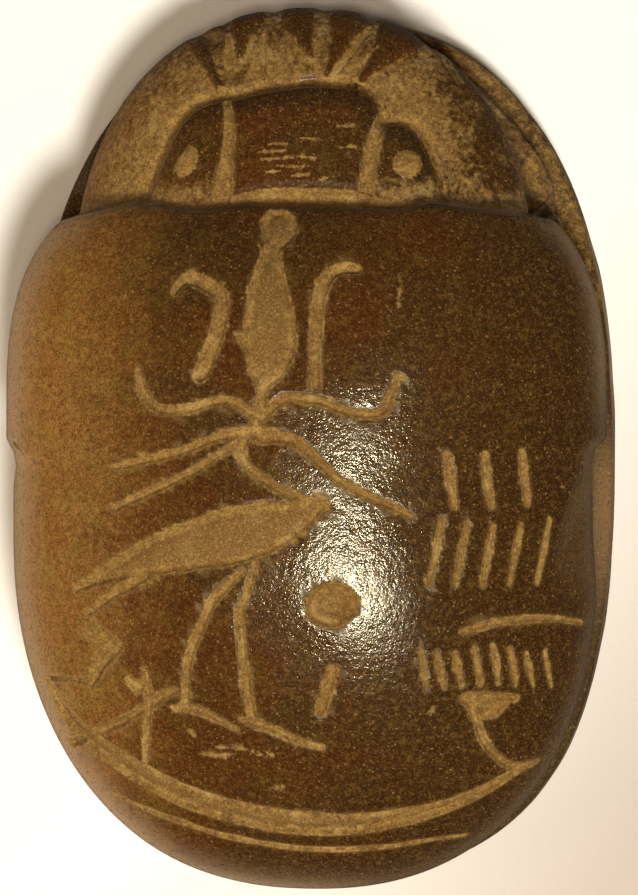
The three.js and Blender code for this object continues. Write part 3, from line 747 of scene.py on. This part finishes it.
# Shares of wear and dust, and of the painted shade and the painted rim reflection
wearAndPaintedLight = {  # greatest shares, and where each starts and is full
    "legEdge": 0.6, "cheekFlank": 0.48, "flankRight": (0, 8), "flankAhead": (6, 12),
    "ledge": 0.5, "ledgeRight": (8, 14), "ledgeAhead": (3, -3), "ledgeBehind": (-14, -5),
    "ledgeRim": (0.92, 0.955), "flat": 0.11, "flatCut": (0, 0.45),
    "plate": 0.6, "plateInner": (0.8, 0.9), "plateOuter": (0.99, 1.02), "plateRight": (-12, -2),
    "tooth": 0.12, "toothEnd": (0.78, 0.92),
    "leftFlank": 0.8, "leftFlankOut": (-5, -9), "leftFlankAhead": (6, 10),
    "rim": 0.22, "rimLeft": (0, -13), "rimRight": 0.3, "rimRightAhead": (0, 6), "rimRightOut": (10, 17),
    "rimTail": 0.75, "rimTailBehind": (-10, -24), "rimTailLeft": (12, -4),
    "rimHeadLess": 0.8, "rimHead": (14, 16.5),
    "fieldMiddle": (0.4, 0.85), "edgeAt": -0.02, "edgeWidth": 0.07,
    "mattCut": (-0.09, -0.01), "mattSides": 0.9, "mattWorn": (0.1, 0.25), "mattNeck": (0.9, 0.55),
}


def surfaceShares(positions, topCount, dust, inside, tooth, legEdge):  # what the material reads at each point
    w = wearAndPaintedLight
    x, y, z = positions.T
    topX, topY = x[:topCount], y[:topCount]
    side = np.arange(len(positions)) >= topCount
    noSides = np.zeros(len(positions) - topCount)
    inside = np.concatenate([inside, noSides - 9])  # no cut is near the sides
    past = topY - frontLineAt(topX)
    onHead = past > 0

    flank = w["cheekFlank"] * side * smoothStep(*w["flankRight"], x) * smoothStep(*w["flankAhead"], y)
    dust = np.maximum.reduce([np.concatenate([dust, noSides]), w["legEdge"] * legEdge, flank])

    onBase = 1 - smoothStep(stone["baseHeight"] + 0.1, stone["baseHeight"] + 0.5, z)
    ledge = onBase * side * smoothStep(*w["ledgeAhead"], y) * smoothStep(*w["ledgeRight"], x)
    ledge *= w["ledge"] * smoothStep(*w["ledgeRim"], baseShare(x, y)) * smoothStep(*w["ledgeBehind"], y)
    flat = w["flat"] * smoothStep(*w["flatCut"], facetShare(topX, topY))
    worn = np.maximum(np.concatenate([flat, noSides]), ledge)

    # painted shade: the plate's bevelled rim, the ends of the teeth and the left cheek's flank are darkened
    plate = plateShare(topX, topY)
    field = onHead * smoothStep(*w["plateInner"], plate) * (1 - smoothStep(*w["plateOuter"], plate))
    field = w["plate"] * field * smoothStep(*w["plateRight"], topX)
    toothShade = w["tooth"] * onHead * tooth * smoothStep(*w["toothEnd"], cheekShare(topX, topY))
    leftFlank = w["leftFlank"] * side * smoothStep(*w["leftFlankOut"], x)
    leftFlank *= smoothStep(*w["leftFlankAhead"], y)
    shade = np.maximum(np.concatenate([np.maximum(field, toothShade), noSides]), leftFlank)

    # painted reflection: how strongly the rims are painted pale, as if they reflected the pale floor; most at
    # the left and towards the tail, least on the head
    right = w["rimRight"] * smoothStep(*w["rimRightAhead"], y) * smoothStep(*w["rimRightOut"], x)
    tail = w["rimTail"] * smoothStep(*w["rimTailBehind"], y) * smoothStep(*w["rimTailLeft"], x)
    paintedRimSheen = np.maximum.reduce([w["rim"] + right, smoothStep(*w["rimLeft"], x), tail])
    paintedRimSheen *= 1 - w["rimHeadLess"] * smoothStep(*w["rimHead"], y)

    neckEdge = onHead * smoothStep(*w["mattNeck"], past - neckBand(topX))
    unpolished = np.maximum.reduce([smoothStep(*w["mattCut"], inside), w["mattSides"] * side,
                                    smoothStep(*w["mattWorn"], worn), np.concatenate([neckEdge, noSides])])
    return {"dust": dust, "fieldMiddle": smoothStep(*w["fieldMiddle"], inside),
            "cutEdge": np.exp(-((inside - w["edgeAt"]) / w["edgeWidth"]) ** 2),
            "worn": worn, "shade": shade, "paintedRimSheen": paintedRimSheen, "unpolished": unpolished}


def makeStone():
    bm = topSheet()
    for zone in (coarseZone, middleZone, fineZone):
        refine(bm, zone)
        print("refined:", len(bm.faces), "faces")
    bm.verts.index_update()
    inside, hairInside, tooth, eye = carveTop(bm)
    topCount = len(bm.verts)
    dust = dustOf(positionsOf(bm), inside, hairInside, tooth, eye)
    addSides(bm)
    bm.verts.index_update()
    legEdge = shapeSides(bm, topCount)
    shares = surfaceShares(positionsOf(bm), topCount, dust, inside, tooth, legEdge)
    bmesh.ops.recalc_face_normals(bm, faces=bm.faces)
    bmesh.ops.scale(bm, verts=bm.verts, vec=(1 / metre,) * 3)
    mesh = bpy.data.meshes.new("scarabStone")
    bm.to_mesh(mesh)
    bm.free()
    mesh.shade_smooth()
    for name, values in shares.items():
        attribute = mesh.attributes.new(name, "FLOAT", "POINT")
        attribute.data.foreach_set("value", np.asarray(values, dtype=np.float32))
    piece = bpy.data.objects.new("scarabStone", mesh)
    bpy.context.collection.objects.link(piece)
    mesh.calc_loop_triangles()
    print("stone made:", len(mesh.loop_triangles), "triangles")
    return piece


def linear(*screen):  # a colour read off a screen, as Blender's sockets want it
    return (*(c / 255 / 12.92 if c <= 10 else ((c / 255 + 0.055) / 1.055) ** 2.4 for c in screen), 1)


finish = {
    "darkStone": linear(60, 38, 14), "redStone": linear(70, 37, 11), "oliveStone": linear(72, 55, 15),
    "warmStone": linear(142, 98, 45), "warmOlive": linear(146, 112, 50), "warmRed": linear(122, 80, 38),
    "shadeStone": linear(46, 28, 10), "paintedShadeTone": linear(38, 27, 14), "paintedRimReflection": linear(212, 184, 152),
    "paleGrain": linear(118, 86, 40), "darkGrain": linear(32, 20, 8), "sand": linear(184, 142, 76),
    "dust": linear(142, 110, 54), "dustBrown": linear(108, 78, 36), "dustPale": linear(170, 142, 86),
    "wornStone": linear(146, 116, 80),
    "mottleScale": 0.55, "grainScale": 7.0, "fleckScale": 9.0, "clumpScale": 2.4, "clumpPatches": 0.8,
    "dustFrom": 0.43, "dustTint": 0.9, "middleDust": 0.7, "edgeDust": 0.2,
    "redLeft": -0.006, "leftMottle": 10.0, "lowSlope": -0.35,
    "polish": (0.13, 0.21), "polishMottle": (0.3, 0.7), "matt": 0.85, "specular": 0.6, "bumpHeight": 0.02,
}

tints = {  # where each tint starts and is full, and its greatest share
    "red": (0.4, 0.64, 1), "olive": (0.48, 0.7, 0.6), "warmOlive": (0.46, 0.62, 0.8),
    "warmRed": (0.48, 0.36, 0.6), "warm": (-0.2, -15.5, 1), "lowRight": (6, 22, 0.6), "rim": (0.34, 0.95, 1),
    "paleClumps": (0.5, 0.66, 0.3), "darkClumps": (0.5, 0.34, 0.3),
    "paleGrains": (0.5, 0.76, 0.55), "darkGrains": (0.5, 0.26, 0.6), "flecks": (0.965, 1.0, 0.35),
    "dust": (0.35, 0.68, 1), "dustPale": (0.53, 0.68, 0.5), "dustBrown": (0.46, 0.34, 0.6),
    "dustGrains": (0.52, 0.76, 0.6), "dustSpecks": (0.48, 0.3, 0.6),
}


def link(tree, source, target):
    tree.links.new(source, target)


def addNode(tree, kind, **settings):
    node = tree.nodes.new(kind)
    for name, value in settings.items():
        setattr(node, name, value)
    return node


def makeGroup(name, numbers):  # a group that takes a vector and named numbers
    group = bpy.data.node_groups.new(name, "ShaderNodeTree")
    group.interface.new_socket("Vector", in_out="INPUT", socket_type="NodeSocketVector")
    for label, default in numbers.items():
        socket = group.interface.new_socket(label, in_out="INPUT", socket_type="NodeSocketFloat")
        socket.default_value = default
    return group, addNode(group, "NodeGroupInput").outputs


def giveOut(group, values):
    for label in values:
        group.interface.new_socket(label, in_out="OUTPUT", socket_type="NodeSocketFloat")
    end = addNode(group, "NodeGroupOutput")
    for label, value in values.items():
        link(group, value, end.inputs[label])


def mathNode(tree, operation, *values):
    node = addNode(tree, "ShaderNodeMath", operation=operation)
    for socket, value in zip(node.inputs, values):
        if isinstance(value, (int, float)):
            socket.default_value = value
        else:
            link(tree, value, socket)
    return node.outputs[0]


def rampNode(tree, value, low, high, fromValue=0.0, toValue=1.0):
    node = addNode(tree, "ShaderNodeMapRange", interpolation_type="SMOOTHSTEP")
    link(tree, value, node.inputs["Value"])
    for name, number in {"From Min": low, "From Max": high, "To Min": fromValue, "To Max": toValue}.items():
        node.inputs[name].default_value = number
    return node.outputs["Result"]


def mixColour(tree, share, first, second):
    node = addNode(tree, "ShaderNodeMix", data_type="RGBA")
    for socket, value in zip((node.inputs[0], node.inputs[6], node.inputs[7]), (share, first, second)):
        if isinstance(value, (int, float, tuple)):
            socket.default_value = value
        else:
            link(tree, value, socket)
    return node.outputs[2]


def tintShare(tree, value, name):
    start, full, most = tints[name]
    return rampNode(tree, value, start, full, 0, most)


def tinted(tree, colour, value, name, tone):
    return mixColour(tree, tintShare(tree, value, name), colour, tone)


def noiseNode(tree, vector, scale, detail, roughness=0.5):
    node = addNode(tree, "ShaderNodeTexNoise")
    link(tree, vector, node.inputs["Vector"])
    link(tree, scale, node.inputs["Scale"])
    node.inputs["Detail"].default_value = detail
    node.inputs["Roughness"].default_value = roughness
    return node


def channel(tree, texture, name):
    parts = addNode(tree, "ShaderNodeSeparateColor")
    link(tree, texture.outputs["Color"], parts.inputs["Color"])
    return parts.outputs[name]


def grainGroup():  # mottling, grains, flecks and a fine height, all in millimetres of the object
    group, given = makeGroup("stoneGrain", {"Mottle Scale": 0.5, "Grain Scale": 5.0, "Fleck Scale": 7.0})
    vector, mottleScale, grainScale = given["Vector"], given["Mottle Scale"], given["Grain Scale"]
    mottle = noiseNode(group, vector, mottleScale, 4, 0.6)
    patches = noiseNode(group, vector, mathNode(group, "MULTIPLY", mottleScale, 0.33), 3)
    fine = noiseNode(group, vector, grainScale, 1.6, 0.65)
    ripple = noiseNode(group, vector, mathNode(group, "MULTIPLY", grainScale, 0.34), 1)
    flecks = addNode(group, "ShaderNodeTexVoronoi", feature="F1")
    link(group, vector, flecks.inputs["Vector"])
    link(group, given["Fleck Scale"], flecks.inputs["Scale"])
    height = mathNode(group, "MULTIPLY_ADD", ripple.outputs["Fac"], 1.2, channel(group, fine, "Green"))
    giveOut(group, {"Mottle": mottle.outputs["Fac"], "Tint": channel(group, mottle, "Green"),
                    "Patches": patches.outputs["Fac"], "Grain": fine.outputs["Fac"],
                    "Flecks": channel(group, flecks, "Red"), "Height": height})
    return group


def dustGroup():  # breaks up the edge and the body of a layer of powder
    group, given = makeGroup("settledDust", {"Amount": 0.0, "Scale": 3.0, "Patchiness": 0.5})
    clumps = noiseNode(group, given["Vector"], given["Scale"], 4, 0.65).outputs["Fac"]
    shift = mathNode(group, "MULTIPLY", mathNode(group, "SUBTRACT", clumps, 0.5), given["Patchiness"])
    total = mathNode(group, "ADD", given["Amount"], shift)
    giveOut(group, {"Mask": rampNode(group, total, 0.22, 0.78), "Clumps": clumps})
    return group


def useGroup(tree, group, **values):
    node = addNode(tree, "ShaderNodeGroup", node_tree=group)
    for name, value in values.items():
        socket = node.inputs[name.replace("_", " ")]
        if isinstance(value, (int, float)):
            socket.default_value = value
        else:
            link(tree, value, socket)
    return node.outputs


def attributeValue(tree, name):
    return addNode(tree, "ShaderNodeAttribute", attribute_name=name).outputs["Fac"]


def newMaterial(name):
    material = bpy.data.materials.new(name)
    material.use_nodes = True
    return material, material.node_tree, material.node_tree.nodes["Principled BSDF"].inputs


def placeNodes(tree):  # the place on the object in millimetres, whole and axis by axis
    place = addNode(tree, "ShaderNodeTexCoord")
    scaled = addNode(tree, "ShaderNodeMapping")
    link(tree, place.outputs["Object"], scaled.inputs["Vector"])
    scaled.inputs["Scale"].default_value = (metre,) * 3
    axes = addNode(tree, "ShaderNodeSeparateXYZ")
    link(tree, scaled.outputs["Vector"], axes.inputs["Vector"])
    return scaled.outputs["Vector"], axes.outputs


def stoneMaterial(grain, dust):
    material, tree, shader = newMaterial("polishedStone")
    vector, axes = placeNodes(tree)
    f = finish
    body = useGroup(tree, grain, Vector=vector, Mottle_Scale=f["mottleScale"], Grain_Scale=f["grainScale"],
                    Fleck_Scale=f["fleckScale"])
    amount = mathNode(tree, "SUBTRACT", attributeValue(tree, "dust"), f["dustFrom"])
    amount = mathNode(tree, "MULTIPLY_ADD", body["Tint"], f["dustTint"], amount)
    powder = useGroup(tree, dust, Vector=vector, Amount=amount, Scale=f["clumpScale"],
                      Patchiness=f["clumpPatches"])
    mottle, tint, grains, clumps = body["Mottle"], body["Tint"], body["Grain"], powder["Clumps"]

    redness = mathNode(tree, "MULTIPLY_ADD", axes["X"], f["redLeft"], body["Patches"])  # redder to the left
    colour = tinted(tree, f["darkStone"], redness, "red", f["redStone"])
    colour = tinted(tree, colour, tint, "olive", f["oliveStone"])
    warm = tinted(tree, f["warmStone"], tint, "warmOlive", f["warmOlive"])
    warm = tinted(tree, warm, mottle, "warmRed", f["warmRed"])
    leftness = mathNode(tree, "MULTIPLY_ADD", mottle, f["leftMottle"], axes["X"])
    warmShare = tintShare(tree, leftness, "warm")
    colour = mixColour(tree, warmShare, colour, warm)
    paleSpeck = mixColour(tree, warmShare, f["paleGrain"], f["sand"])
    lowRight = mathNode(tree, "MULTIPLY_ADD", axes["Y"], f["lowSlope"], leftness)
    colour = tinted(tree, colour, lowRight, "lowRight", f["shadeStone"])
    # painted reflection: where the surface turns away from the camera, its colour goes towards a pale tone
    # that stands for the floor's reflection
    facing = addNode(tree, "ShaderNodeLayerWeight").outputs["Facing"]
    lit = mathNode(tree, "MULTIPLY", tintShare(tree, facing, "rim"), attributeValue(tree, "paintedRimSheen"))
    colour = mixColour(tree, lit, colour, f["paintedRimReflection"])
    colour = tinted(tree, colour, clumps, "paleClumps", paleSpeck)
    colour = tinted(tree, colour, clumps, "darkClumps", f["darkGrain"])
    colour = mixColour(tree, attributeValue(tree, "worn"), colour, f["wornStone"])
    # painted shade on the plate's rim, the teeth's ends and the left cheek's flank
    colour = mixColour(tree, attributeValue(tree, "shade"), colour, f["paintedShadeTone"])
    colour = tinted(tree, colour, grains, "paleGrains", paleSpeck)
    colour = tinted(tree, colour, grains, "darkGrains", f["darkGrain"])
    colour = tinted(tree, colour, body["Flecks"], "flecks", f["dustPale"])

    powderColour = tinted(tree, f["dustBrown"], clumps, "dust", f["dust"])
    powderColour = tinted(tree, powderColour, mottle, "dustPale", f["dustPale"])
    powderColour = tinted(tree, powderColour, mottle, "dustBrown", f["dustBrown"])
    middle = mathNode(tree, "MULTIPLY", attributeValue(tree, "fieldMiddle"), f["middleDust"])
    powderColour = mixColour(tree, middle, powderColour, f["dustBrown"])
    powderColour = tinted(tree, powderColour, grains, "dustGrains", f["dustPale"])
    powderColour = tinted(tree, powderColour, grains, "dustSpecks", f["redStone"])
    edge = mathNode(tree, "MULTIPLY", attributeValue(tree, "cutEdge"), f["edgeDust"])
    colour = mixColour(tree, edge, colour, f["dust"])
    colour = mixColour(tree, powder["Mask"], colour, powderColour)
    link(tree, colour, shader["Base Color"])
    shader["Specular IOR Level"].default_value = f["specular"]

    rough = addNode(tree, "ShaderNodeMix", data_type="FLOAT")
    matt = mathNode(tree, "MAXIMUM", powder["Mask"], attributeValue(tree, "unpolished"))
    link(tree, matt, rough.inputs[0])
    link(tree, rampNode(tree, mottle, *f["polishMottle"], *f["polish"]), rough.inputs[2])
    rough.inputs[3].default_value = f["matt"]
    link(tree, rough.outputs[0], shader["Roughness"])

    bump = addNode(tree, "ShaderNodeBump")
    bump.inputs["Strength"].default_value = 1.0
    bump.inputs["Distance"].default_value = f["bumpHeight"] / metre
    link(tree, body["Height"], bump.inputs["Height"])
    link(tree, bump.outputs["Normal"], shader["Normal"])
    return material


# painted shade: the paper's colour darkens towards the lower right
paper = {"white": linear(247, 247, 244), "shadedTone": linear(197, 184, 176), "whiteAt": 12.0, "shadeFullAt": 62.0,
         "shadeSlope": 1.4, "ragged": 6.0, "roughness": 0.9}


def paperMaterial(grain):  # white paper with painted shade, darker and cream towards the lower right
    material, tree, shader = newMaterial("paper")
    vector, axes = placeNodes(tree)
    fibres = useGroup(tree, grain, Vector=vector, Mottle_Scale=0.4, Grain_Scale=4.0, Fleck_Scale=3.0)
    down = mathNode(tree, "SUBTRACT", 0.0, axes["Y"])
    across = mathNode(tree, "MULTIPLY_ADD", axes["X"], paper["shadeSlope"], down)
    ragged = mathNode(tree, "MULTIPLY_ADD", fibres["Grain"], paper["ragged"], across)
    share = addNode(tree, "ShaderNodeMapRange")
    link(tree, ragged, share.inputs["Value"])
    share.inputs["From Min"].default_value = paper["whiteAt"]
    share.inputs["From Max"].default_value = paper["shadeFullAt"]
    colour = mixColour(tree, share.outputs["Result"], paper["white"], paper["shadedTone"])
    link(tree, colour, shader["Base Color"])
    shader["Roughness"].default_value = paper["roughness"]
    return material


def makeFloor(material):
    bm = bmesh.new()
    bmesh.ops.create_grid(bm, x_segments=1, y_segments=1, size=1.5)
    mesh = bpy.data.meshes.new("paperSheet")
    bm.to_mesh(mesh)
    bm.free()
    floor = bpy.data.objects.new("paperSheet", mesh)
    bpy.context.collection.objects.link(floor)
    mesh.materials.append(material)
    floor.visible_glossy = False
    return floor


view = {"lens": 165.0, "sensor": 36.0}

lights = {  # directions are towards each light, and distances and sizes are in millimetres
    "glint": {"towards": (0.134, -0.197, 0.971), "distance": 520, "size": 30, "watts": 1.9,
              "colour": (1.0, 0.9, 0.6), "glossy": True},
    "overhead": {"towards": (0.12, -0.10, 0.988), "distance": 520, "size": 50, "watts": 0.62,
                 "colour": (1.0, 0.78, 0.56), "glossy": False},
    "window": {"towards": (0.238, -0.32, 0.917), "distance": 450, "size": 90, "watts": 2.4,
               "colour": (1.0, 0.95, 0.84), "glossy": False},
    "leftFill": {"towards": (-0.86, -0.12, 0.42), "distance": 380, "size": 240, "watts": 0.4,
                 "colour": (1.0, 0.76, 0.52), "glossy": False},
}
skyColour, skyStrength = (1.0, 0.82, 0.68, 1), 0.04


def makeCamera():
    data = bpy.data.cameras.new("camera")
    data.lens = view["lens"]
    data.sensor_width = view["sensor"]
    camera = bpy.data.objects.new("camera", data)
    bpy.context.collection.objects.link(camera)
    lean = sight["lean"]
    offset = np.array([math.sin(lean), 0, math.cos(lean)]) * sight["distance"]
    camera.location = (np.array(sight["target"]) + offset) / metre
    camera.rotation_euler = (0, lean, 0)
    bpy.context.scene.camera = camera


def makeLights():
    for name, light in lights.items():
        data = bpy.data.lights.new(name, "AREA")
        data.shape = "DISK"
        data.size = light["size"] / metre
        data.energy = light["watts"]
        data.color = light["colour"]
        lamp = bpy.data.objects.new(name, data)
        lamp.visible_glossy = light["glossy"]
        lamp.visible_diffuse = not light["glossy"]
        bpy.context.collection.objects.link(lamp)
        towards = np.array(light["towards"]) / np.linalg.norm(light["towards"])
        lamp.location = (towards * light["distance"] + (0, 0, stone["height"] / 2)) / metre
        lamp.rotation_euler = (math.acos(towards[2]), 0, math.atan2(towards[0], -towards[1]))
    world = bpy.data.worlds.new("room")
    bpy.context.scene.world = world
    world.use_nodes = True
    world.node_tree.nodes["Background"].inputs["Color"].default_value = skyColour
    world.node_tree.nodes["Background"].inputs["Strength"].default_value = skyStrength


makeCamera()
makeLights()
bpy.context.scene.view_settings.view_transform = "Standard"
print("camera and lights made")

grain = grainGroup()
scarabStone = makeStone()
scarabStone.data.materials.append(stoneMaterial(grain, dustGroup()))
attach(scarabStone, "root")
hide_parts("scarab")
makeFloor(paperMaterial(grain))
print("materials made")
